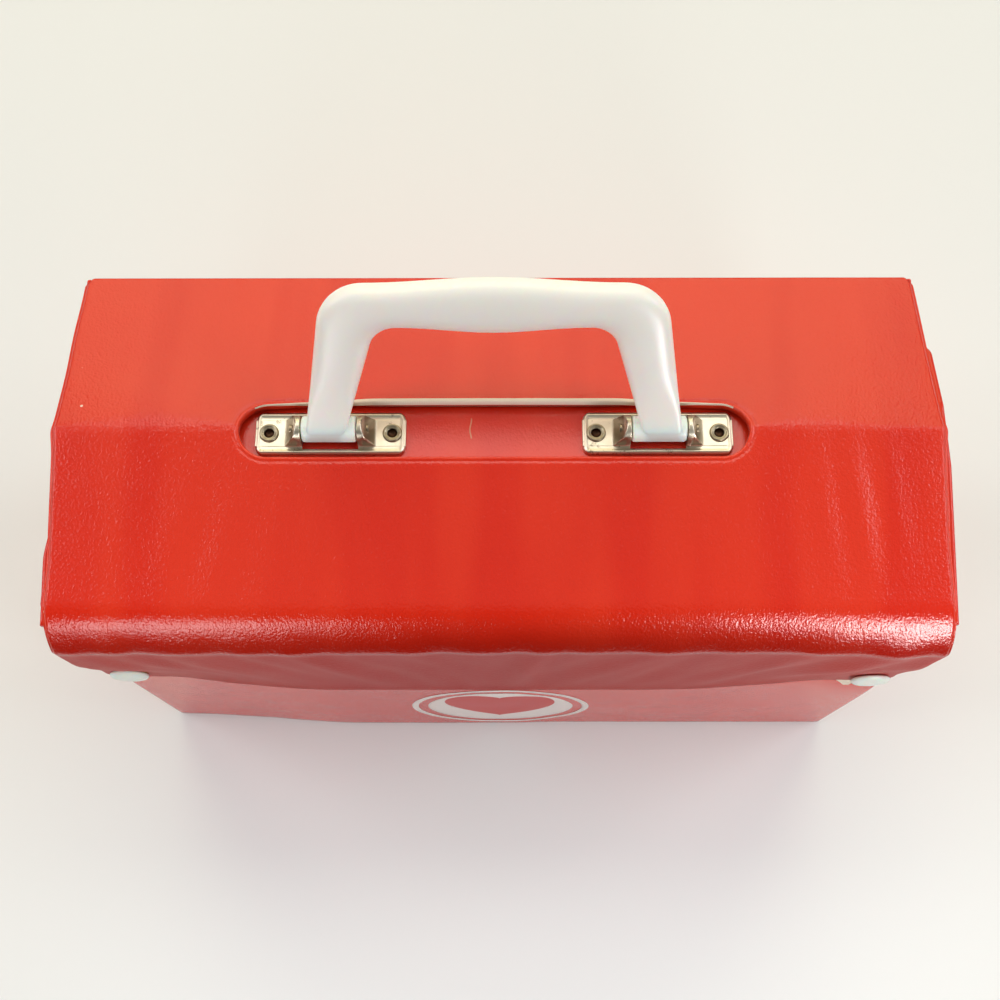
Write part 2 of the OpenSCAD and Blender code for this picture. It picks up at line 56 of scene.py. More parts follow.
def lamp(name, power, size, place, aim, colour=(1.0, 1.0, 1.0)):
    light = bpy.data.lights.new(name, "AREA")
    light.energy = power
    light.shape = "RECTANGLE"
    light.size, light.size_y = size
    light.color = colour
    obj = bpy.data.objects.new(name, light)
    obj.location = place
    obj.rotation_euler = (Vector(aim) - Vector(place)).to_track_quat("-Z", "Y").to_euler()
    scene.collection.objects.link(obj)
    return obj


lamp("lamp_front_left", 0.25, (0.12, 0.10), (-0.158, -0.26, 0.215), (-0.10, -0.06, 0.16))
lamp("lamp_front_right", 0.32, (0.09, 0.12), (0.20, -0.24, 0.22), (0.13, -0.06, 0.16))
glint = lamp("lamp_glint", 0.42, (0.09, 0.12), (0.201, -0.241, 0.22), (0.13, -0.06, 0.16))
glint.visible_diffuse = False
lamp("lamp_behind", 18.5, (2.5, 1.15), (0.0, 1.60, 1.25), (0.0, 0.0, 0.15), (1.0, 0.9, 0.6))
lamp("lamp_high", 6.4, (1.2, 0.5), (0.0, 0.60, 1.45), (0.0, 0.0, 0.17), (1.0, 0.96, 0.85))
lamp("lamp_over", 2.0, (1.6, 1.1), (0.0, -0.34, 1.60), (0.0, 0.0, 0.17), (1.0, 0.97, 0.86))
lamp("lamp_left", 9.4, (0.9, 0.9), (-1.25, 0.15, 1.1), (0.0, 0.0, 0.1), (1.0, 0.98, 0.97))
lamp("lamp_right", 9.4, (0.9, 0.9), (1.25, 0.15, 1.1), (0.0, 0.0, 0.1), (0.97, 0.985, 1.0))

sky = bpy.data.worlds.new("studio_air")
sky.use_nodes = True
sky.node_tree.nodes["Background"].inputs["Color"].default_value = (1.0, 0.99, 0.98, 1.0)
sky.node_tree.nodes["Background"].inputs["Strength"].default_value = 0.06
scene.world = sky

camera = bpy.data.objects.new("camera", bpy.data.cameras.new("camera"))
camera.data.lens = 44.6
camera.data.sensor_width = 36.0
camera.data.clip_start = 0.01
camera.location = (0.0, -0.1493, 0.5398)
camera.rotation_euler = (math.radians(19.22), 0.0, math.radians(-0.09))
scene.collection.objects.link(camera)
scene.camera = camera


class Wire:
    """A socket of a material's nodes that can stand in a sum."""

    def __init__(self, tree, socket):
        self.tree, self.socket = tree, socket

    def sum(self, operation, *terms):
        node = self.tree.nodes.new("ShaderNodeMath")
        node.operation = operation
        for socket, term in zip(node.inputs, terms):
            join(self.tree, socket, term)
        return Wire(self.tree, node.outputs[0])

    def __add__(self, other):
        return self.sum("ADD", self, other)

    def __radd__(self, other):
        return self.sum("ADD", other, self)

    def __sub__(self, other):
        return self.sum("SUBTRACT", self, other)

    def __rsub__(self, other):
        return self.sum("SUBTRACT", other, self)

    def __mul__(self, other):
        return self.sum("MULTIPLY", self, other)

    def __rmul__(self, other):
        return self.sum("MULTIPLY", other, self)

    def __truediv__(self, other):
        return self.sum("DIVIDE", self, other)

    def __abs__(self):
        return self.sum("ABSOLUTE", self)

    def below(self, edge, soft):
        """1 where this is well under edge, 0 over it, turning over a width of soft."""
        node = self.tree.nodes.new("ShaderNodeMapRange")
        node.interpolation_type = "SMOOTHSTEP"
        for name, term in (("Value", self), ("From Min", edge - soft / 2), ("From Max", edge + soft / 2),
                           ("To Min", 1.0), ("To Max", 0.0)):
            join(self.tree, node.inputs[name], term)
        return Wire(self.tree, node.outputs[0])

    def above(self, edge, soft):
        return 1.0 - self.below(edge, soft)


def join(tree, socket, term):
    if isinstance(term, Wire):
        tree.links.new(term.socket, socket)
    elif isinstance(term, (tuple, list)) and socket.type == "RGBA" and len(term) == 3:
        socket.default_value = (*term, 1.0)
    else:
        socket.default_value = term


def shade(red, green, blue):
    """A colour as a painter reads it off a screen, 0 to 255, turned into light."""
    return tuple((c / 255 / 12.92) if c < 11 else ((c / 255 + 0.055) / 1.055) ** 2.4
                 for c in (red, green, blue))


class Finish:
    """A material built from one Principled shader. Keywords set what is even all over."""

    def __init__(self, name, **even):
        self.material = bpy.data.materials.new(name)
        self.material.use_nodes = True
        self.tree = self.material.node_tree
        self.shader = self.tree.nodes["Principled BSDF"]
        for word, value in even.items():
            join(self.tree, self.shader.inputs[word.replace("_", " ")], value)
        self.place = self.node("TexCoord", out="Object")
        split = self.node("SeparateXYZ", out=None, Vector=self.place)
        self.x, self.y, self.z = (Wire(self.tree, split.outputs[axis]) for axis in "XYZ")

    def node(self, kind, out=0, how=None, **sockets):
        """Any node: how holds its settings, which are set first, then its sockets by name."""
        node = self.tree.nodes.new("ShaderNode" + kind)
        for word, value in (how or {}).items():
            setattr(node, word, value)
        for word, value in sockets.items():
            name = word.replace("_", " ")
            found = [s for s in node.inputs if s.enabled and s.name == name]
            join(self.tree, found[0] if found else node.inputs[int(word[2:])], value)
        if out is None:
            return node
        return Wire(self.tree, node.outputs[out])

    def noise(self, scale, detail=3.0, rough=0.5, at=None):
        return self.node("TexNoise", how={"noise_dimensions": "3D"}, Vector=at or self.place,
                         Scale=scale, Detail=detail, Roughness=rough)

    def mix(self, share, first, second):
        return self.node("Mix", out=2, how={"data_type": "RGBA"}, in0=share, in6=first, in7=second)

    def feed(self, **sockets):
        for word, value in sockets.items():
            join(self.tree, self.shader.inputs[word.replace("_", " ")], value)
        return self.material

    def bump(self, height, depth, strength=1.0):
        return self.feed(Normal=self.node("Bump", Height=height, Distance=depth, Strength=strength))


def pale_sheet():
    finish = Finish("pale_sheet", Roughness=0.9)
    rays = finish.node("LightPath", out=None).outputs
    looking, mirrored, passing = (Wire(finish.tree, rays["Is %s Ray" % kind])
                                  for kind in ("Camera", "Glossy", "Transmission"))
    seen = looking + mirrored + passing
    cloudy = finish.noise(2.2, 2.0)
    # Painted shade: beyond 24 cm before the case's middle the sheet is dark, standing in for the dark room in
    # front, so the front fold reflects dark and gets less light from the floor.
    painted_dark_front = finish.y.below(-0.24, 0.03)
    sheet = finish.mix(cloudy, shade(231, 231, 228), shade(224, 227, 227))
    finish.feed(Base_Color=finish.mix(painted_dark_front, sheet, shade(46, 34, 30)),
                Emission_Color=finish.mix(seen * (1.0 - painted_dark_front), (0.0, 0.0, 0.0), (0.03, 0.04, 0.05)))
    finish.shader.inputs["Emission Strength"].default_value = 1.0
    finish.bump(finish.noise(9.0, 4.0), 0.003, 0.15)
    return finish.material


form = bmesh.new()
bmesh.ops.create_grid(form, x_segments=2, y_segments=2, size=1.6)
sheet_mesh = bpy.data.meshes.new("pale_floor")
form.to_mesh(sheet_mesh)
form.free()
floor = bpy.data.objects.new("pale_floor", sheet_mesh)
scene.collection.objects.link(floor)
sheet_mesh.materials.append(pale_sheet())


# Chipboard panels: grey-brown board in the body, the inner lid and the flap, cut square,
# laid between the vinyl sheets and sealed in by the welds round their edges.
def chipboard():
    finish = Finish("chipboard", Roughness=0.92)
    fibre = finish.noise(900.0, 4.0, 0.7)
    speck = finish.noise(260.0, 2.0).above(0.62, 0.06)
    pulp = finish.mix(fibre, shade(138, 118, 94), shade(172, 154, 128))
    finish.feed(Base_Color=finish.mix(speck * 0.6, pulp, shade(92, 76, 60)))
    finish.bump(fibre, 0.0002, 0.5)
    return finish.material


def dress(names, material):
    for name in names:
        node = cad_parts[name]
        node.data.materials.clear()
        node.data.materials.append(material)


board = chipboard()
dress(["front_board", "bottom_board", "flap_back_board", "flap_front_board"], board)


# Body vinyl: one sheet of glossy red vinyl over the front, the base and the back, welded to
# the lining round the boards, with a 19 mm strip of each panel turned onto the side walls.
def red_vinyl(name, grain, dull):
    """The red vinyl with the photo's specks and scratch; dull is how much the front fold loses."""
    finish = Finish(name, Specular_IOR_Level=0.5)
    broad = finish.noise(14.0, 3.0, 0.55)
    cloud = finish.noise(48.0, 4.0, 0.6)
    red = finish.mix(broad, shade(204, 31, 9), shade(219, 44, 16))
    red = finish.mix(cloud * 0.4, red, shade(204, 26, 9))
    long = finish.node("Mapping", Vector=finish.place, Scale=(1.0, 0.14, 0.14))
    red = finish.mix(finish.noise(30.0, 2.0, 0.5, long).above(0.5, 0.16) * 0.5, red, shade(222, 54, 26))
    weld = finish.node("Attribute", out=2, how={"attribute_name": "weld"})
    red = finish.mix(weld * 0.6, red, shade(232, 62, 32))
    specks = (((-0.135, 0.0235, 0.1755), 0.0003, shade(226, 160, 140)),
              ((-0.1325, 0.0085, 0.1785), 0.0005, shade(236, 200, 180)),
              ((-0.0029, -0.0636, 0.0008), 0.0012, shade(70, 34, 24)))
    for (x, y, z), size, colour in specks:
        wide, deep, high = (finish.x - x) / size, (finish.y - y) / size, (finish.z - z) / (size * 1.6)
        spot = (wide * wide + deep * deep + high * high + finish.noise(1400.0, 1.0) * 1.2).below(1.3, 0.5)
        red = finish.mix(spot, red, colour)
    bent = finish.x + 0.0091 + 0.00025 * finish.node("Math", how={"operation": "SINE"}, in0=finish.y * 900.0)
    scratch = abs(bent).below(0.00022, 0.00018) * abs(finish.y - 0.0022).below(0.0034, 0.001)
    scratch = scratch * abs(finish.z - 0.1744).below(0.0012, 0.0003)
    red = finish.mix(scratch * 0.8, red, shade(206, 140, 104))
    pebble = finish.node("TexVoronoi", how={"feature": "F1"}, Vector=finish.place, Scale=1300.0,
                         Randomness=0.95)
    stretch = finish.node("Mapping", Vector=finish.place, Scale=(1.0, 0.6, 0.6))
    wrinkle = finish.noise(1100.0, 3.0, 0.55, stretch)
    crease = finish.noise(150.0, 3.0, 0.6)
    gloss = 0.17 + 0.07 * cloud
    if dull:
        # Painted shade: the front fold and the lip below 162 mm are darkened towards deep red, on top of the
        # extra roughness that dull adds.
        front = finish.y.below(-0.046, 0.01)
        red = finish.mix(front * finish.z.below(0.162, 0.012) * 0.6, red, shade(132, 10, 4))
        gloss = gloss + dull * front * finish.z.below(0.1525, 0.006)
    finish.feed(Base_Color=red, Roughness=gloss)
    finish.bump((1.0 - pebble) * 0.5 + wrinkle * 1.3 + crease * 0.3, 0.0002 * grain, 0.55)
    return finish.material


def spread(first, last, count):
    return [first + (last - first) * i / count for i in range(count + 1)]


def rows_of(*stretches):
    """Joins (first, last, steps) stretches into one list of positions without doubles."""
    line = []
    for first, last, count in stretches:
        line += spread(first, last, count)[(1 if line else 0):]
    return line


def flat_sheet(across, along):
    """A flat grid with its lines at the given places, ready to be shaped."""
    form = bmesh.new()
    nx, ny = len(across) - 1, len(along) - 1
    bmesh.ops.create_grid(form, x_segments=nx, y_segments=ny, size=1.0)
    for v in form.verts:
        v.co = Vector((across[round((v.co.x + 1) * nx / 2)], along[round((v.co.y + 1) * ny / 2)], 0.0))
    return form


def ripple(x, y, size, seed=0.0):
    """Smooth unevenness between about -1 and 1, repeating the same each time."""
    return noise.noise(Vector((x / size, y / size, seed)))


def face_way(form, *way):
    """Makes the faces agree, and turns them so that the most of their area looks along way."""
    bmesh.ops.recalc_face_normals(form, faces=form.faces)
    if sum(f.normal.dot(Vector(way)) * f.calc_area() for f in form.faces) < 0:
        bmesh.ops.reverse_faces(form, faces=form.faces)
    return form


def add_piece(name, form, material, body, modifiers=(), smooth=True):
    mesh = bpy.data.meshes.new(name)
    form.to_mesh(mesh)
    form.free()
    mesh.polygons.foreach_set("use_smooth", [smooth] * len(mesh.polygons))
    mesh.materials.append(material)
    obj = bpy.data.objects.new(name, mesh)
    scene.collection.objects.link(obj)
    for kind, settings in modifiers:
        modifier = obj.modifiers.new(kind.lower(), kind)
        for word, value in settings.items():
            setattr(modifier, word, value)
    if body:
        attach(obj, body)
    return obj


body_top, body_base, body_half_depth = 142.0, 138.5, 59.5
front_height, back_height, corner_turn, return_width = 160.6, 163.8, 2.2, 19.0
body_lean = (body_top - body_base) / front_height
snap_x, snap_z, snap_hold = 131.5, 103.5, 260.0


def body_path(s, half_depth=body_half_depth, floor_z=0.0, turn=corner_turn):
    """Point and outward direction in y and z, s mm round the sheet from the base towards the front."""
    side = -1.0 if s >= 0 else 1.0
    run = abs(s)
    flat = half_depth - turn
    quarter = turn * math.pi / 2
    if run <= flat:
        return side * run, floor_z, 0.0, -1.0
    if run <= flat + quarter:
        a = (run - flat) / turn
        return (side * (flat + turn * math.sin(a)), floor_z + turn * (1 - math.cos(a)),
                side * math.sin(a), -math.cos(a))
    return side * half_depth, floor_z + turn + run - flat - quarter, side, 0.0


def ease(share):
    """Goes from 0 to 1 as share does, level at both ends."""
    share = min(1.0, max(0.0, share))
    return share * share * (3 - 2 * share)


def belly(x, y, z):
    """How far the front panel swells, in mm: not at the left end, the top and the right snap."""
    most, left_end, top, behind = 4.1, -136, 126, -20
    held = 1 - math.exp(-((x - snap_x) ** 2 + (z - snap_z) ** 2) / snap_hold)
    return most * held * ease((x - left_end) / 76) * ease((top - z) / 42) * ease((behind - y) / 36)


def tuck(y, z):
    """How far the two back corners are drawn in under the flap, in mm."""
    return 2.7 * ease((y - 5) / 45) * ease((z - 136) / 22)


def body_wave(x, s):
    return min(0.45, 0.45 * ripple(x, s, 46.0, 2.0) + 0.15 * ripple(x, s, 15.0, 5.0))


def next_ring(form, ring, closed=True):
    """Extrudes a row of vertices and returns the new row in the same order."""
    pairs = list(zip(ring, ring[1:] + ring[:1])) if closed else list(zip(ring, ring[1:]))
    edges = [form.edges.get(pair) for pair in pairs]
    grown = bmesh.ops.extrude_edge_only(form, edges=edges)["geom"]
    fresh = [g for g in grown if isinstance(g, bmesh.types.BMVert)]
    return [min(fresh, key=lambda f: (f.co - v.co).length_squared) for v in ring]


def open_rim(form, keep):
    """The open edges whose ends are kept, walked into one ordered row of vertices."""
    form.verts.index_update()
    ways = {}
    for e in form.edges:
        a, b = e.verts
        if e.is_boundary and keep(a.co) and keep(b.co):
            ways.setdefault(a, []).append(b)
            ways.setdefault(b, []).append(a)
    ends = [v for v in ways if len(ways[v]) == 1] or list(ways)
    row = [min(ends, key=lambda v: v.index)]
    seen = set(row)
    while True:
        onward = [v for v in ways[row[-1]] if v not in seen]
        if not onward:
            return row
        row.append(min(onward, key=lambda v: v.index))
        seen.add(row[-1])


def body_vinyl():
    flat = body_half_depth - corner_turn
    quarter = corner_turn * math.pi / 2
    up_front = flat + quarter + front_height - corner_turn
    up_back = flat + quarter + back_height - corner_turn
    along = rows_of((-up_back, -flat - quarter, 60), (-flat - quarter, -flat, 5), (-flat, flat, 24),
                    (flat, flat + quarter, 5), (flat + quarter, up_front, 60))
    form = flat_sheet(rows_of((-1.0, 1.0, 120)), along)
    for v in form.verts:
        share, s = v.co.x, v.co.y
        y, z, ny, nz = body_path(s)
        wave = body_wave(share * body_base, s) * (1 - abs(share) ** 8) if abs(ny) > 0.5 else 0.0
        x = share * (body_base + body_lean * z + 0.6 - corner_turn - tuck(y, z))
        v.co = Vector((x, y + ny * wave - belly(x, y, z), z + nz * wave)) * mm
    for side in (-1, 1):
        for face in (-1, 1):
            def upright_edge(co):
                drawn_in = corner_turn + tuck(co.y / mm, co.z / mm)
                edge_x = (body_base + body_lean * co.z / mm + 0.5 - drawn_in) * mm
                return (side * co.x >= edge_x and face * co.y > (body_half_depth - 1) * mm
                        and co.z > 0.9 * corner_turn * mm)

            row = open_rim(form, upright_edge)
            start = [v.co / mm for v in row]
            steps = [(math.radians(a), 0.0) for a in (18, 36, 54, 72, 90)]
            steps += [(math.pi / 2, run) for run in spread(0.0, return_width - corner_turn, 6)[1:]]
            for angle, run in steps:
                row = next_ring(form, row, closed=False)
                for v, at in zip(row, start):
                    y = at.y - face * (corner_turn * (1 - math.cos(angle)) + run)
                    bow = tuck(at.y, at.z) - tuck(y, at.z)
                    if face < 0:
                        most = 2.1 if side < 0 else 1.7
                        bow = most * ease((at.z - 112) / 30) * (0.3 + 0.7 * min(1.0, run / 6))
                    x = at.x + side * (corner_turn * math.sin(angle) + bow)
                    v.co.x, v.co.y = x * mm, y * mm
    for face, top in ((-1, front_height), (1, back_height)):
        row = open_rim(form, lambda co: face * co.y > (body_half_depth - 0.7) * mm
                       and co.z > (top - 0.05) * mm)
        for inward, down in ((0.9, -0.14), (2.7, -0.15), (3.2, 0.6), (3.2, 3.4)):
            row = next_ring(form, row, closed=False)
            for v in row:
                v.co.y, v.co.z = face * (body_half_depth - inward) * mm, (top - down) * mm
    bmesh.ops.recalc_face_normals(form, faces=form.faces)
    return form


vinyl = red_vinyl("red_vinyl", 0.5, 0.0)
body_piece = add_piece("body_vinyl", body_vinyl(), vinyl, "case_body",
                       [("SOLIDIFY", {"thickness": 0.0006, "offset": -1.0})])
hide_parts("body_skin")


# Back chipboard: the body's back panel, between the two vinyls. Its upper corners are drawn in
# with theirs, so it is drawn here and not taken from the CAD.
back_board_y = 56.9
form = flat_sheet(rows_of((-1.0, 1.0, 40)), rows_of((2.7, 130.0, 10), (130.0, 163.0, 20)))
for v in form.verts:
    half = body_base - 0.9 + body_lean * v.co.y - tuck(body_half_depth - 0.6, v.co.y)
    v.co = Vector((v.co.x * half, back_board_y, v.co.y)) * mm
back_piece = add_piece("back_chipboard", form, board, "case_body",
                       [("SOLIDIFY", {"thickness": 0.0019, "offset": -1.0})], smooth=False)
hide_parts("back_board")


# Body lining: dark red vinyl with a cloth-like back, in one sheet down the front, over the
# bottom board and up the back, welded to the outer sheet round the boards.
def lining_vinyl():
    finish = Finish("lining_vinyl", Specular_IOR_Level=0.4)
    patch = finish.noise(30.0, 4.0, 0.6)
    weave = finish.node("TexVoronoi", how={"feature": "F1"}, Vector=finish.place, Scale=900.0)
    finish.feed(Base_Color=finish.mix(patch, shade(150, 26, 22), shade(172, 36, 30)),
                Roughness=0.5 + 0.2 * patch)
    finish.bump(weave + patch, 0.0002, 0.5)
    return finish.material


def body_lining():
    reach, turn, below_top, arc = 56.5, 2.6, 3.2, 4.1
    flat = reach - turn
    up = flat + turn * math.pi / 2 + front_height - below_top - turn
    along = rows_of((-up, -flat - arc, 30), (-flat - arc, -flat, 6), (-flat, flat, 24),
                    (flat, flat + arc, 6), (flat + arc, up, 30))
    form = flat_sheet(rows_of((-1.0, 1.0, 40)), along)
    for v in form.verts:
        y, z, ny, nz = body_path(v.co.y, reach, 3.0, turn)
        x = v.co.x * (body_base - 1.0 + body_lean * z - tuck(y, z))
        wave = 0.3 * ripple(x, v.co.y, 30.0, 9.0) - 0.3
        v.co = Vector((x, y + ny * wave, z + nz * wave)) * mm
    bmesh.ops.recalc_face_normals(form, faces=form.faces)
    bmesh.ops.reverse_faces(form, faces=form.faces)
    return form


lining = lining_vinyl()
lining_piece = add_piece("body_lining_sheet", body_lining(), lining, "case_body",
                         [("SOLIDIFY", {"thickness": 0.0004, "offset": 1.0})])
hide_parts("body_lining")


# Side walls: soft red vinyl with no board in it, so each wall gives and creases inwards. Each
# stands between the body's edges, and its top turns in under the inner lid.
ridge_z, slope, lid_flat_half = 180.0, math.radians(12), 10.5
wall_half, wall_floor, wall_turn = 58.8, 0.9, 2.0


def lid_height(y, depth):
    """Height of a layer of the inner lid, depth mm below the flap's face and flat along the ridge."""
    return ridge_z - max(abs(y), lid_flat_half) * math.tan(slope) - depth / math.cos(slope)


def side_wall(side):
    """One wall. Its rows run up it from 0 to 1, round its turn to 2 and inwards to 3."""
    form = flat_sheet(rows_of((-wall_half, wall_half, 72)),
                      rows_of((0.0, 1.0, 54), (1.0, 2.0, 6), (2.0, 3.0, 8)))
    for v in form.verts:
        y, t = v.co.x, v.co.y
        top = lid_height(y, 6.9)
        up, over, along = min(t, 1.0), min(max(t - 1.0, 0.0), 1.0), max(t - 2.0, 0.0)
        z = wall_floor + up * (top - wall_floor - wall_turn) + wall_turn * math.sin(over * math.pi / 2)
        sag = math.sin(math.pi * min(1.0, up * 1.02)) ** 0.8 * max(0.0, 1 - (y / wall_half) ** 2) ** 0.7
        crease = math.exp(-(y / 2.2) ** 2) + 0.5 * math.exp(-((y - 16) / 5) ** 2)
        soft = 0.9 * ripple(y, z, 24.0, 20.0 + side) + 0.35 * ripple(y, z, 8.0, 3.0)
        x = body_base + body_lean * z - 0.1 - sag * (2.0 + 1.1 * crease + soft) - tuck(y, z)
        x -= wall_turn * (1 - math.cos(over * math.pi / 2)) + 22.0 * along
        v.co = Vector((side * x, y - belly(side * x, y, z), z)) * mm
    return face_way(form, side, 0, 0)


for side, name in ((-1, "left"), (1, "right")):
    wall = add_piece(name + "_side_wall", side_wall(side), vinyl, "case_body",
                     [("SOLIDIFY", {"thickness": 0.0007, "offset": -1.0})])
    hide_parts(name + "_gusset")


# Printed badge on the front panel: a white ring and a white disc with a red heart, screened onto
# the vinyl as one thin film of ink. The heart is a plain stand-in for the mark in the photo.
badge_x, badge_z = 0.3, 41.5


def badge_ink():
    finish = Finish("badge_ink")
    heart_size = 19.0 * mm
    u, w = finish.x / heart_size, (finish.z - badge_z * mm) / heart_size
    round_part = u * u + w * w - 1.0
    heart = (round_part * round_part * round_part - u * u * w * w * w).below(0.0, 0.0008)
    inside = (u * u + w * w).below(2.1, 0.02)
    patch = finish.noise(60.0, 4.0, 0.6)
    white = finish.mix(patch, shade(246, 238, 234), shade(236, 224, 218))
    finish.feed(Base_Color=finish.mix(heart * inside, white, shade(205, 36, 30)),
                Roughness=0.32 + 0.12 * patch)
    return finish.material


def badge():
    form = bmesh.new()
    for inner, outer in ((0.0, 29.0), (32.8, 35.4)):
        start = inner or 0.4
        row = list(bmesh.ops.create_circle(form, cap_ends=not inner, segments=120, radius=start)["verts"])
        for radius in spread(start, outer, 16 if not inner else 3)[1:]:
            row = next_ring(form, row)
            for v in row:
                v.co = v.co.normalized() * radius
    for v in form.verts:
        x, z = v.co.x + badge_x, v.co.y + badge_z
        s = body_half_depth - corner_turn + corner_turn * math.pi / 2 + z - corner_turn
        share = x / (body_base + body_lean * z + 0.6 - corner_turn)
        wave = body_wave(share * body_base, s) * (1 - abs(share) ** 8)
        v.co = Vector((x, -body_half_depth - wave - belly(x, -body_half_depth, z) - 0.09, z)) * mm
    return face_way(form, 0, -1, 0)


add_piece("front_badge", badge(), badge_ink(), "case_body",
          [("SOLIDIFY", {"thickness": 0.00006, "offset": -1.0})])


# Press snaps: ivory plastic. Each has a domed cap riveted through the lip into a socket, and a
# stud held on the body's front by a cap inside.
def ivory_plastic(name, first, second, gloss):
    finish = Finish(name, Specular_IOR_Level=0.5, Subsurface_Weight=0.35, Subsurface_Scale=0.006)
    patch = finish.noise(35.0, 4.0, 0.6)
    finish.feed(Base_Color=finish.mix(patch, first, second), Roughness=gloss + 0.12 * patch)
    finish.bump(finish.noise(160.0, 3.0), 0.00015, 0.25)
    return finish.material


snap_white = ivory_plastic("snap_plastic", shade(238, 240, 232), shade(226, 229, 220), 0.34)
dress(["left_snap_stud", "right_snap_stud", "left_stud_cap", "right_stud_cap", "left_snap_socket",
       "right_snap_socket"], snap_white)


def turned(profile, segments=64):
    """Spins (radius, height) points round Z into a closed shape."""
    form = bmesh.new()
    points = [form.verts.new((r, 0.0, h)) for r, h in profile]
    edges = [form.edges.new(pair) for pair in zip(points, points[1:])]
    bmesh.ops.spin(form, geom=points + edges, axis=(0, 0, 1), cent=(0, 0, 0), angle=math.tau,
                   steps=segments, use_merge=True)
    bmesh.ops.remove_doubles(form, verts=form.verts, dist=1e-4)
    bmesh.ops.recalc_face_normals(form, faces=form.faces)
    return form


def moved(form, turn, place):
    """Turns a finished form about X by turn degrees and puts it at place, in mm."""
    about_x = Matrix.Rotation(math.radians(turn), 3, "X")
    bmesh.ops.rotate(form, verts=form.verts, cent=(0, 0, 0), matrix=about_x)
    bmesh.ops.translate(form, verts=form.verts, vec=place)
    bmesh.ops.scale(form, verts=form.verts, vec=(mm, mm, mm))
    return form


# Inner lid: chipboard sealed between red vinyl above and dark lining below. Its back corners are
# rounded and its edge shows past the flap.
lid_front, lid_back, lid_half, lid_neck = -59.2, 55.8, 143.0, 137.0
lid_corner, lid_round = 34.0, 4.0


def lid_width(y):
    """Half width of the inner lid, which narrows behind its rounded corners."""
    if y <= lid_corner - lid_round:
        return lid_half
    if y <= lid_corner:
        return lid_half - lid_round + math.sqrt(max(0.0, lid_round ** 2 - (y - lid_corner + lid_round) ** 2))
    return lid_neck


def lid_sheet(depth, inset, edge_turn, skirt, seed):
    """A layer of the lid: its edge turns down with radius edge_turn and a skirt drops from it."""
    along = rows_of((lid_front + inset, lid_front + 2, 5), (lid_front + 2, 29.0, 70), (29.0, 34.2, 14),
                    (34.2, lid_back - 2, 14), (lid_back - 2, lid_back - inset, 5))
    form = flat_sheet(rows_of((-1.0, -0.985, 6), (-0.985, 0.985, 110), (0.985, 1.0, 6)), along)
    for v in form.verts:
        y = v.co.y
        drawn_in = 2.1 * ease((y + 40) / 14) if v.co.x < 0 and y < lid_corner else 0.0
        half = lid_width(y) - inset - drawn_in
        x = v.co.x * half
        edge = min(half - abs(x), y - lid_front - inset, lid_back - inset - y)
        fall = edge_turn - math.sqrt(max(0.0, edge_turn ** 2 - max(0.0, edge_turn - edge) ** 2))
        wave = 0.16 * ripple(x, y, 30.0, seed) * min(1.0, edge / 4)
        v.co = Vector((x, y, lid_height(y, depth) - fall + wave)) * mm
    if skirt:
        row = open_rim(form, lambda co: True)
        for v in next_ring(form, row):
            v.co.z -= skirt * mm
    return face_way(form, 0, 0, 1)


lid_piece = add_piece("inner_lid_vinyl", lid_sheet(3.2, 0.0, 1.1, 1.6, 31.0), vinyl, "inner_lid",
                      [("SOLIDIFY", {"thickness": 0.0005, "offset": -1.0})])
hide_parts("inner_lid_skin")
board_piece = add_piece("inner_lid_chipboard", lid_sheet(3.8, 0.6, 0.05, 0.0, 31.0), board, "inner_lid",
                        [("SOLIDIFY", {"thickness": 0.002, "offset": -1.0})], smooth=False)
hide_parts("inner_lid_board")
under = lid_sheet(6.25, 0.3, 0.3, 0.0, 37.0)
bmesh.ops.reverse_faces(under, faces=under.faces)
under_piece = add_piece("inner_lid_underside", under, lining, "inner_lid",
                        [("SOLIDIFY", {"thickness": 0.0004, "offset": -1.0})])
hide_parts("inner_lid_lining")


# Handle plates: stamped steel with a nickel finish gone dull, with rolled edges, a raised border,
# a window for the handle's foot and a hump each side of it that grips the pin.
def nickel(name, bright, dull, gloss):
    finish = Finish(name, Metallic=1.0)
    tarnish = finish.noise(210.0, 5.0, 0.65)
    broad = finish.noise(55.0, 3.0, 0.5)
    stain = finish.noise(520.0, 3.0, 0.6).above(0.64, 0.08)
    metal = finish.mix(tarnish * 0.7 + broad * 0.3, bright, dull)
    # Painted reflection: between these heights the humps' sloping flanks are painted dark brown, standing in
    # for the dark surroundings that they mirror.
    flank = finish.z.above(0.1766, 0.0006) * finish.z.below(0.1818, 0.0012)
    metal = finish.mix(flank * 0.75, metal, shade(132, 114, 90))
    finish.feed(Base_Color=finish.mix(stain * 0.55, metal, shade(112, 96, 74)),
                Roughness=gloss + 0.2 * tarnish)
    finish.bump(tarnish + finish.noise(1500.0, 2.0) * 0.4, 0.00008, 0.35)
    return finish.material


steel = nickel("nickel_plate", shade(230, 223, 206), shade(204, 194, 172), 0.26)
dress(["left_rivet_washers", "right_rivet_washers", "left_handle_pin", "right_handle_pin"], steel)
handle_x, foot_x, lid_flat, rivet_x = -1.6, 51.8, 174.5, 19.5


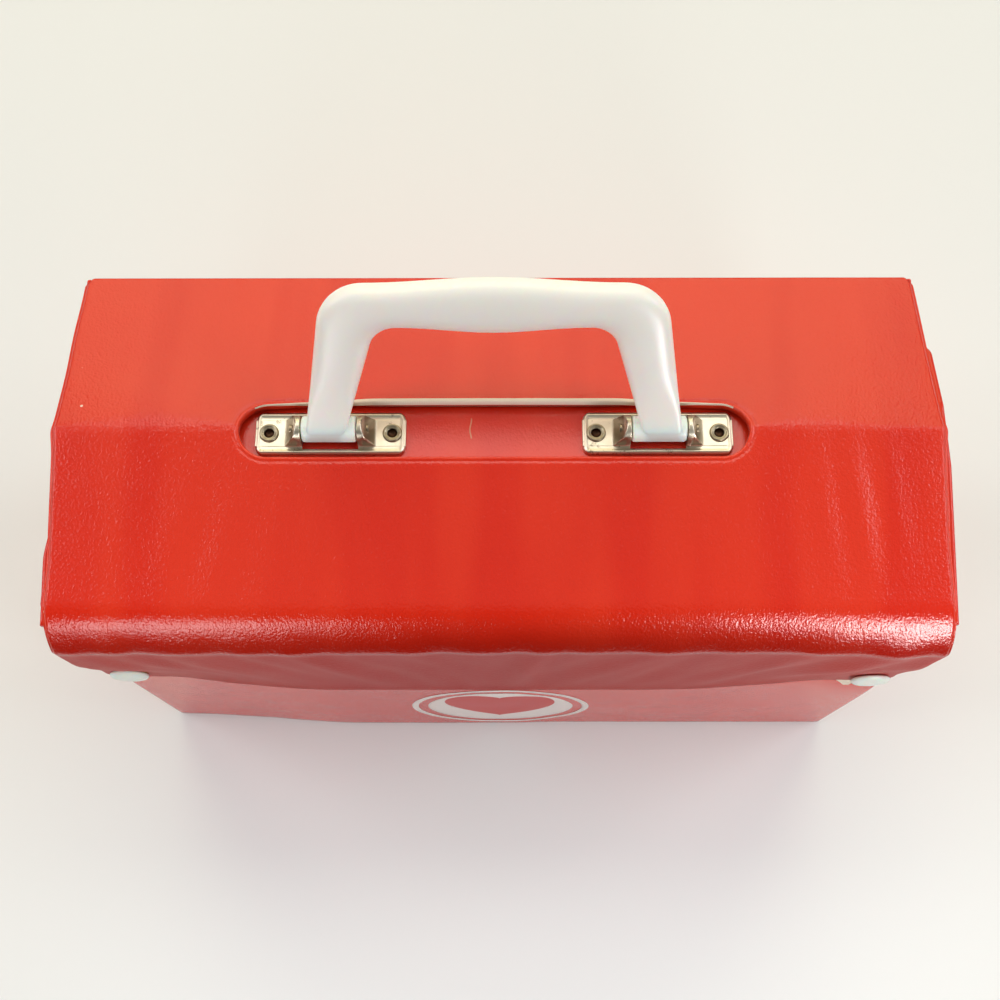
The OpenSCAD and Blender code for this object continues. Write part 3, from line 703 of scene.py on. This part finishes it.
def plate(side):
    half_l, half_w, corner, roll = 23.8, 7.25, 2.8, 0.9
    window_l, window_w, rivet_hole = 0.374, 5.3, 2.1
    hump_from, hump_half, hump_r, hump_length = 8.9, 4.5, 4.4, 4.1
    across = rows_of((-1.0, -0.94, 8), (-0.94, -window_l, 54), (-window_l, window_l, 20),
                     (window_l, 0.94, 54), (0.94, 1.0, 8))
    along = rows_of((-half_w, -5.6, 12), (-5.6, -window_w, 1), (-window_w, -hump_half, 3),
                    (-hump_half, -4.3, 3), (-4.3, 4.3, 36), (4.3, hump_half, 3), (hump_half, window_w, 3),
                    (window_w, 5.6, 1), (5.6, half_w, 12))
    form = flat_sheet(across, along)
    hole = []
    for f in form.faces:
        middle = f.calc_center_median()
        in_window = abs(middle.x) < window_l and abs(middle.y) < window_w
        if in_window or math.hypot(abs(middle.x) * half_l - rivet_x, middle.y) < rivet_hole:
            hole.append(f)
    bmesh.ops.delete(form, geom=hole, context="FACES")
    for v in form.verts:
        y = v.co.y
        near = max(0.0, corner - (half_w - abs(y)))
        half = half_l - corner + math.sqrt(max(0.0, corner ** 2 - near ** 2))
        x = v.co.x * half
        edge = min(half - abs(x), half_w - abs(y))
        h = 1.55 - (roll - math.sqrt(max(0.0, roll ** 2 - max(0.0, roll - edge) ** 2)))
        h += 0.22 * math.exp(-((edge - 1.05) / 0.42) ** 2) - 0.12 * min(1.0, max(0.0, (edge - 1.3) / 0.8))
        run = abs(x) - hump_from
        if run >= -1e-6 and abs(y) <= hump_r:
            round_top = 3.1 + math.sqrt(max(0.0, hump_r ** 2 - y * y))
            if run > 1.3:
                flank = (hump_half - abs(y)) * 8.0
                round_top = max(0.0, min(round_top, 7.5 * (1.0 - (run - 1.3) / hump_length), flank))
            h = max(h, 1.5 + round_top)
        dent = 0.05 * ripple(x, y, 6.0, 50.0 + side)
        v.co = Vector((x, y, h + dent))
    outer = open_rim(form, lambda co: abs(co.x) > 22.2 or abs(co.y) > 6.9)
    for v in next_ring(form, outer):
        v.co.z = 0.02
    inner = open_rim(form, lambda co: abs(co.x) < 9.5 and abs(co.y) < 5.5)
    for v in next_ring(form, inner):
        v.co.z = 0.3
    return moved(face_way(form, 0, 0, 1), 0, (handle_x + side * foot_x, 0.0, lid_flat))


# Tubular rivets: two in each plate, the head rolled outwards over the plate and spread again over a
# washer under the lid. The shallow hollow inside is painted dark brown: painted shade of the hole.
rivet_outline = [(0.0, -1.5), (1.5, -1.45), (1.55, -0.5), (1.6, 0.0), (1.75, 0.2), (1.95, 0.12), (2.15, 0.3),
                 (2.5, 0.55), (2.8, 0.45), (3.05, 0.15), (3.1, -0.2), (2.4, -0.25), (2.3, -5.75), (3.0, -5.8),
                 (3.1, -6.1), (2.7, -6.35), (1.9, -6.4), (1.7, -5.6), (0.0, -5.6)]
tube = Finish("rivet_tube", Metallic=0.9)
tube_wear = tube.noise(700.0, 4.0, 0.6)
# Painted shade: under the head the hollow is dark brown, standing in for the shade in the hole.
rise = (tube.z - 0.1755) / 0.0006
rise = rise.sum("MINIMUM", rise.sum("MAXIMUM", rise, 0.0), 1.0)
worn = tube.mix(tube_wear, shade(190, 180, 156), shade(120, 108, 86))
tube.feed(Base_Color=tube.mix(rise, shade(74, 50, 34), worn), Roughness=0.24 + 0.25 * tube_wear)

for side, name in ((-1, "left"), (1, "right")):
    pressed = add_piece(name + "_plate", plate(side), steel, "inner_lid")
    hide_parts(name + "_handle_plate")
    pair = bmesh.new()
    for end in (-1, 1):
        one = turned(rivet_outline, 48)
        place = (handle_x + side * foot_x + end * rivet_x, 0.0, lid_flat + 1.75)
        bmesh.ops.translate(one, verts=one.verts, vec=place)
        spare = bpy.data.meshes.new("one_rivet")
        one.to_mesh(spare)
        one.free()
        pair.from_mesh(spare)
    bmesh.ops.scale(pair, verts=pair.verts, vec=(mm, mm, mm))
    rivets = add_piece(name + "_rivets", pair, tube.material, "inner_lid")
    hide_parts(name + "_plate_rivets")


# Carry handle: one moulding in pale greenish ivory plastic, with a fine parting line round its
# edge. Its two feet are barrels that turn on the pins, and it leans back as it is stored.
barrel_r, barrel_length, handle_rest, pin_z = 4.1, 17.2, -33, 179.4


def sweep_outline(lean, foot, radius, up, end, middle):
    """Points of half the outline: up the leg from the foot, round a corner centred up mm above the
    pin, and along the grip, whose edge is end mm high beside the corner and middle mm halfway."""
    line = []
    tilt = math.radians(lean)
    centre = foot - (up - barrel_r) * math.tan(tilt) - radius / math.cos(tilt)
    knee = up + radius * math.sin(tilt)
    for h in [-3.2, -2.4, -1.6, -0.8] + spread(0.0, knee, 16)[:-1]:
        line.append((foot - (h - barrel_r) * math.tan(tilt), h))
    for i in range(15):
        a = math.radians(lean + (90 - lean) * i / 14)
        line.append((centre + radius * math.cos(a), up + radius * math.sin(a)))
    for i in range(1, 17):
        line.append((centre * (1 - i / 16), end + (middle - end) * (1 - math.cos(math.pi * i / 16)) / 2))
    return line


def carry_handle():
    outer = sweep_outline(9.7, 58.25, 14.0, 36.3, 50.3, 52.2)
    inner = sweep_outline(17.0, 45.35, 9.0, 28.4, 37.4, 35.6)
    outer += [(-x, h) for x, h in reversed(outer[:-1])]
    inner += [(-x, h) for x, h in reversed(inner[:-1])]
    angles = [math.tau * k / 36 for k in range(36)]
    for seam in (0.0, math.pi):
        angles += [seam + 0.05, (seam - 0.05) % math.tau]
    angles.sort()
    form = bmesh.new()
    row = bmesh.ops.create_circle(form, cap_ends=True, segments=len(angles), radius=1.0)["verts"]
    for i, (o, n) in enumerate(zip(outer, inner)):
        if i:
            row = next_ring(form, row)
        mid, arm = ((o[0] + n[0]) / 2, (o[1] + n[1]) / 2), ((o[0] - n[0]) / 2, (o[1] - n[1]) / 2)
        thick = barrel_r + 0.7 * ease((mid[1] - 5) / 24)
        if mid[1] <= 0:
            thick = math.sqrt(barrel_r ** 2 - mid[1] ** 2)
        square = 0.2 + 0.5 * ease((mid[1] - 6) / 16)
        for a, v in zip(angles, row):
            c, s = math.cos(a), math.sin(a)
            c = math.copysign(abs(c) ** square, c)
            s = math.copysign(abs(s) ** square, s)
            seam = 1.012 if abs(math.sin(a)) < 0.001 else 1.0
            v.co = Vector((mid[0] + arm[0] * c * seam, thick * s, mid[1] + arm[1] * c * seam))
    bmesh.ops.contextual_create(form, geom=row)
    for side in (-1, 1):
        foot = bmesh.ops.create_cone(form, cap_ends=True, segments=64, radius1=barrel_r, radius2=barrel_r,
                                     depth=barrel_length)["verts"]
        bmesh.ops.rotate(form, verts=foot, cent=(0, 0, 0), matrix=Matrix.Rotation(math.pi / 2, 3, "Y"))
        bmesh.ops.translate(form, verts=foot, vec=(side * foot_x, 0, 0))
        ends = [e for v in foot for e in v.link_edges if abs(e.verts[0].co.x - e.verts[1].co.x) < 1e-4]
        bmesh.ops.bevel(form, geom=list(set(ends)), offset=0.9, segments=5, profile=0.5, affect="EDGES",
                        material=-1)
    bmesh.ops.recalc_face_normals(form, faces=form.faces)
    return moved(form, handle_rest, (handle_x, 0.0, pin_z))


handle_plastic = ivory_plastic("handle_plastic", shade(251, 252, 244), shade(246, 248, 238), 0.3)
handle_piece = add_piece("carry_handle_moulding", carry_handle(), handle_plastic, "carry_handle")
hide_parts("handle")


# Outer flap and its lip: a board behind and one before the ridge, between red vinyl and a white
# underside, welded round the edges and the slot. Only vinyl bends over the front into the lip.
slot_half, slot_r, slot_hole = 71.5, 9.0, (-96.0, 93.0, 20.0)
flap_half, slope_run, ridge_r, lip_edge_z, lip_round = 140.0, 53.5, 5.0, 96.0, 6.0
hinge_y, hinge_z, back_run, roll_r = 59.5, 165.87, 61.14, 1.55


def bend_angle(t):
    """How steeply the face falls t mm before the ridge: a round bend, a flatter front and a fold."""
    angle = math.degrees(slope)
    for first, last, turn in ((slope_run, 63.5, 38.0), (63.5, 73.5, 17.0), (73.5, 75.0, 23.0)):
        angle += turn * min(1.0, max(0.0, (t - first) / (last - first)))
    return math.radians(angle)


step, front_path = 0.25, [(0.0, ridge_z)]
while front_path[-1][1] > lip_edge_z:
    fall = bend_angle((len(front_path) - 0.5) * step)
    front_path.append((front_path[-1][0] - step * math.cos(fall), front_path[-1][1] - step * math.sin(fall)))
lip_low, lip_top = -(len(front_path) - 1) * step, -75.0
lip_end = lip_top - lip_low


def roof(s):
    """Point and outward direction in y and z of the flap's face, s mm back from the ridge."""
    if abs(s) < 1.05:
        a = s / ridge_r
        up = ridge_z - ridge_r / math.cos(slope) + ridge_r * math.cos(a)
        return ridge_r * math.sin(a), up, math.sin(a), math.cos(a)
    if s > back_run:
        a = min(slope + (s - back_run) / roll_r, math.radians(200))
        return hinge_y + roll_r * math.sin(a), hinge_z + roll_r * math.cos(a), math.sin(a), math.cos(a)
    if s > 0:
        return s * math.cos(slope), ridge_z - s * math.sin(slope), math.sin(slope), math.cos(slope)
    place = min(-s / step, len(front_path) - 1.001)
    (y, z), (y2, z2) = front_path[int(place)], front_path[int(place) + 1]
    share, fall = place - int(place), bend_angle(-s)
    return y + (y2 - y) * share, z + (z2 - z) * share, -math.sin(fall), math.cos(fall)


def fullness(x, s):
    """How far the face stands off its plain shape, in mm."""
    t = -s
    right_end = 1.3 * ease((x - 80) / 50) * ease((t - 50) / 24)
    held_corner = (4.0 if x < 0 else 3.6) * ease((abs(x) - 60) / 64) * ease((t - 90) / 36)
    low_edge = 0.9 * math.exp(-max(0.0, s - lip_low) / 2.2) * ease((118 - abs(x)) / 24)
    raised = 0.95 * math.exp(-((x + 108) / 24) ** 2) + 0.6 * math.exp(-((x - 99) / 15) ** 2)
    slot_end = min(max(0.0, s * math.sin(slope)), raised) * ease((30 - s) / 22)
    return right_end - held_corner + low_edge + slot_end


def creases(x, s):
    """Folds and ripples of the flap's face, in mm, which fade at its edges."""
    out = 0.24 * ripple(x, s, 55.0, 11.0) + 0.10 * ripple(x, s, 19.0, 12.0)
    right = math.exp(-((x - 114) / 14) ** 2) * math.exp(-((s + 26) / 22) ** 2)
    out += 0.36 * right * math.sin((x + 0.12 * s) / 7.4 * math.tau / 1.6)
    left = math.exp(-((x + 92) / 18) ** 2) * math.exp(-((s + 38) / 20) ** 2)
    out += 0.24 * left * math.sin((x - 0.2 * s) / 11.0 * math.tau / 1.5)
    if s < lip_top + 12:
        t = min(1.0, (lip_top + 12 - s) / (lip_end + 12))
        across = x - 0.65 * (s - lip_top) * x / math.hypot(x, 25.0)
        slant = noise.noise(Vector((across / 12.0, s / 70.0, 4.0)))
        cross = noise.noise(Vector((across / 27.0, s / 50.0, 7.0)))
        out += (1.7 * slant + 1.2 * cross) * math.sin(math.pi * min(1.0, t * 1.02)) ** 1.2
    return out * min(1.0, math.hypot(abs(x) - snap_x, (s - lip_low - snap_z + lip_edge_z)) / 14.0)


def flap_outline(s):
    """Half width of the flap: wider at the bend, with rounded lower corners on the lip."""
    near = max(0.0, lip_round - (s - lip_low))
    width = flap_half + 0.7 + 0.1 * ease((54 - s) / 26) + 0.8 * ease((-s - 38) / 20) * ease((s + 92) / 22)
    width -= 1.3 * ease((s - back_run + 1.5) / 3.0)
    return width - lip_round + math.sqrt(max(0.0, lip_round ** 2 - near * near))


def slot_sprung(local):
    """How far the slot's back edge has moved back, in mm, local mm from the slot's middle."""
    return 0.9 * ease((76 - local) / 34)


def slot_bow(local):
    """How far that edge has sprung up: not where the handle's legs lie when it is swung back."""
    beside = math.exp(-((local - foot_x) / 9.5) ** 4)
    return 0.8 * (1 - beside) * max(0.0, math.cos(min(1.0, local / 76) * math.pi / 2)) ** 0.6


def flap_sheet(drop, inset, slot_at, weld):
    """The flap and lip as one sheet, drop(s) mm under the outer face, with the slot cut out."""
    low, back = lip_low + inset, back_run - 1.2 * (inset > 0)
    ends, weld_rows, ridge_rows, roll_run = flap_half - inset, 3.2, 1.2, 4.9
    hole_left, hole_right, hole_deep = slot_hole
    along = rows_of((low, low + 3.0, 8), (low + 3.0, lip_top, 34), (lip_top, lip_top + 2.0, 5),
                    (lip_top + 2.0, -slope_run, 15), (-slope_run, -hole_deep, 22),
                    (-hole_deep, -ridge_rows, 12), (-ridge_rows, ridge_rows, 4), (ridge_rows, hole_deep, 12),
                    (hole_deep, back, 24))
    if inset == 0:
        along += rows_of((back, back + roll_run, 10))[1:]
    across = rows_of((-ends, -ends + weld_rows, 14), (-ends + weld_rows, hole_left, 20),
                     (hole_left, hole_right, 90), (hole_right, ends - weld_rows, 22),
                     (ends - weld_rows, ends, 14))
    form = flat_sheet(across, along)
    hole = [f for f in form.faces if hole_left < f.calc_center_median().x < hole_right
            and abs(f.calc_center_median().y) < hole_deep]
    bmesh.ops.delete(form, geom=hole, context="FACES")
    row = open_rim(form, lambda co: hole_left - 0.1 < co.x < hole_right + 0.1
                   and abs(co.y) < hole_deep + 0.1)
    start = [v.co.copy() for v in row]
    target = []
    for at in start:
        local = at.x - handle_x
        centre = max(-slot_half, min(slot_half, local))
        away = Vector((local - centre, at.y, 0.0))
        if abs(local) <= slot_half:
            away = Vector((0.0, math.copysign(1.0, at.y), 0.0))
        target.append((Vector((handle_x + centre, 0.0, 0.0)), away.normalized()))
    for gap in (9.0, 7.0, 5.2, 3.8, 2.9, 2.3, 1.9, 1.5, 1.15, 0.85, 0.5, 0.22, 0.0, -0.01):
        row = next_ring(form, row)
        for v, at, (centre, way) in zip(row, start, target):
            sprung = slot_sprung(abs(at.x - handle_x)) * (at.y > 0)
            near = centre + way * (slot_at + gap + sprung * min(1.0, 1.6 - gap / 5))
            v.co = near.lerp(at, max(0.0, gap / 11.0) ** 1.6) if gap > 4 else near
            v.co.z = -2.4 if gap < 0 and weld else 0.0
    if weld:
        rim = open_rim(form, lambda co: abs(co.x) > ends - 0.01 or co.y < low + 0.01 or co.y > back + 4.8)
        for v in next_ring(form, rim):
            v.co.z = -1.0 if v.co.y > -60 else -0.5
    mark = form.verts.layers.float.new("weld")
    plain_half = -hole_left
    for v in form.verts:
        x, s, sunk = v.co.x, v.co.y, v.co.z
        half = flap_outline(s) - inset
        if abs(x) > plain_half:
            wider = (half - plain_half) / (ends - plain_half)
            x = math.copysign(plain_half + (abs(x) - plain_half) * wider, x)
        side_gap, low_gap = half - abs(x), s - low
        y, z, ny, nz = roof(s)
        thick = min(1.0, max(0.0, (s + 66) / 12))
        calm = min(1.0, side_gap / 5, (s - low + 4) / 5) if s < back_run else 0.0
        local = abs(v.co.x - handle_x)
        slot_gap = math.hypot(max(0.0, local - slot_half), s) - slot_at
        calm *= min(1.0, max(0.0, slot_gap / 5))
        out = sunk - drop(s) + fullness(x, s) + creases(x, s) * max(0.0, calm)
        if s > -30 and slot_gap < 12:
            out += slot_bow(local) * math.exp(-max(0.0, slot_gap) / 4.0) * (1.0 if s > 0 else 0.15)
        if not weld:
            out = min(out, 0.25 - drop(s) + max(0.0, -54.0 - s))
        if weld:
            fall, width = 1.5 * thick + 0.45 * (1 - thick), 2.0 * thick + 1.3 * (1 - thick)
            u = min(1.0, max(0.0, (side_gap - 0.5) / (width - 0.5)))
            out -= fall * (1 - math.sin(u * math.pi / 2))
            out -= 0.3 * (1 - min(1.0, max(0.0, low_gap - 0.4))) * min(1.0, side_gap / 2)
            if slot_gap < 5:
                out -= 0.3 * math.exp(-((slot_gap - 1.35) / 0.32) ** 2)
                out += 0.08 * math.exp(-((slot_gap - 2.9) / 0.7) ** 2)
                out -= 0.4 * max(0.0, 1 - slot_gap / 0.45) ** 2 if slot_gap < 0.45 else 0.0
            pinch = math.exp(-((s + 1.0) / 4.0) ** 2) * max(0.0, 1 - side_gap / 5)
            x += math.copysign(0.5, x) * pinch
            x += 0.35 * ripple(s, math.copysign(9, x), 21.0, 40.0) * max(0.0, 1 - side_gap / 8)
            v[mark] = min(1.0, math.exp(-(side_gap / 1.1) ** 2) + 0.8 * math.exp(-(slot_gap / 0.9) ** 2)
                          + 0.6 * math.exp(-(low_gap / 0.8) ** 2))
        else:
            torn = math.exp(-((x - 125.5) / 3.6) ** 2) * max(0.0, 1 - low_gap / 3.0)
            z, out = z - 3.0 * torn, out + 2.3 * torn
        v.co = Vector((x, y + ny * out, z + nz * out)) * mm
    return face_way(form, 0, 0, 1 if weld else -1)


grained = red_vinyl("grained_vinyl", 1.3, 0.30)
skin_piece = add_piece("flap_vinyl", flap_sheet(lambda s: 0.0, 0.0, slot_r, True), grained, None)
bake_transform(skin_piece)
thicken = skin_piece.modifiers.new("solidify", "SOLIDIFY")
thicken.thickness, thicken.offset = 0.0006, -1.0
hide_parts("flap_skin", "lip_skin")


def white_underside():
    finish = Finish("white_underside", Roughness=0.6)
    patch = finish.noise(26.0, 4.0, 0.6)
    cloth = finish.node("TexWave", out=1, how={"bands_direction": "X"}, Vector=finish.place, Scale=420.0)
    finish.feed(Base_Color=finish.mix(patch, shade(238, 226, 208), shade(224, 208, 186)))
    finish.bump(cloth * 0.5 + finish.noise(900.0, 2.0), 0.0001, 0.4)
    return finish.material


def underside_drop(s):
    return 1.15 + 1.65 * min(1.0, max(0.0, (s + 57) / 5))


white = white_underside()
inside_piece = add_piece("flap_underside", flap_sheet(underside_drop, 0.5, slot_r + 0.35, False), white, None)
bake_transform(inside_piece)
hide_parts("flap_lining", "lip_lining")


# Cut edge at the back of the slot: the flap's white underside shows there as a strip, because
# the edge has sprung up and back along the slot.
def slot_edge():
    form = flat_sheet(rows_of((-77.4, 74.2, 120)), rows_of((0.0, 1.0, 12)))
    for v in form.verts:
        x, t = v.co.x, v.co.y
        local = abs(x - handle_x)
        bow = slot_bow(local)
        wide = 0.02 + 1.2 * ease((78 - local) / 44) + 0.1 * ripple(x, 0.0, 16.0, 6.0)
        over = min(1.0, t / 0.6)
        s = slot_r + slot_sprung(local) + wide * (1 - over) - 0.2 * math.sin(over * math.pi / 2)
        down = max(0.0, t - 0.6) / 0.4 * (0.1 + 0.9 * ease((78 - local) / 44))
        if local > slot_half:
            s -= slot_r - math.sqrt(slot_r ** 2 - (local - slot_half) ** 2)
        y, z, ny, nz = roof(s)
        out = 0.1 + 0.1 * bow + bow * math.exp(-max(0.0, s - slot_r) / 4.0)
        out += (0.1 + 0.12 * bow) * math.sin(over * math.pi) - 1.6 * down - 0.3 * over ** 6
        v.co = Vector((x, y + ny * out, z + nz * out)) * mm
    return face_way(form, 0, 0, 1)


add_piece("slot_cut_edge", slot_edge(), white, "outer_flap",
          [("SOLIDIFY", {"thickness": 0.0005, "offset": -1.0})])


# Snap caps: domed ivory discs riveted through the lip at its two lower corners.
cap_outline = [(0.0, 2.15), (3.0, 2.12), (5.0, 1.98), (6.0, 1.7), (6.6, 1.25), (6.8, 0.75), (6.75, 0.3),
               (6.4, 0.05), (1.4, 0.0), (1.4, -1.1), (0.0, -1.1)]
for side, name, stand in ((-1, "left", 62.3), (1, "right", 64.4)):
    cap = moved(turned(cap_outline), 90, (side * snap_x, -stand, snap_z))
    cap_piece = add_piece(name + "_cap", cap, snap_white, "flap_lip",
                          [("SUBSURF", {"levels": 1, "render_levels": 1})])
    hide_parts(name + "_snap_cap")
